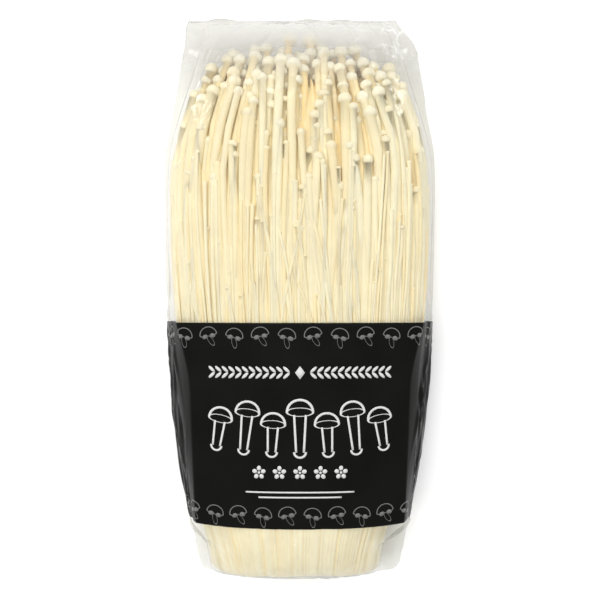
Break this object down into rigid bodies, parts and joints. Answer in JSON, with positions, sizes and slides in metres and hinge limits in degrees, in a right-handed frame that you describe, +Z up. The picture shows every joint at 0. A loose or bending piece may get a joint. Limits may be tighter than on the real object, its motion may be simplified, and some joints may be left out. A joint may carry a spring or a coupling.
{
  "type": "enoki mushroom bunch in a film bag",
  "caption": "Bunch of slender cream enoki mushrooms with small round caps, in a snug clear film bag with a black printed band round its lower part, lying on its back.",
  "frame": {"origin": "on the surface that the pack lies on, under the middle of the bag", "axes": "+Y along the stems towards the caps, +Z up out of the front of the pack, +X across it"},
  "size_m": [0.0908, 0.187, 0.034],
  "materials": {
    "mushroom": "moist cream mushroom flesh, satin, warmer in the gaps between the stems",
    "clear_film": "thin clear glossy packing film with fine creases",
    "printed_film": "packing film printed black with a plain grey and white ornament, semi-gloss"
  },
  "bodies": {
    "root": {"mushroom_bunch": "mushroom", "film_bag": "clear_film", "printed_band": "printed_film"}
  },
  "joints": []
}
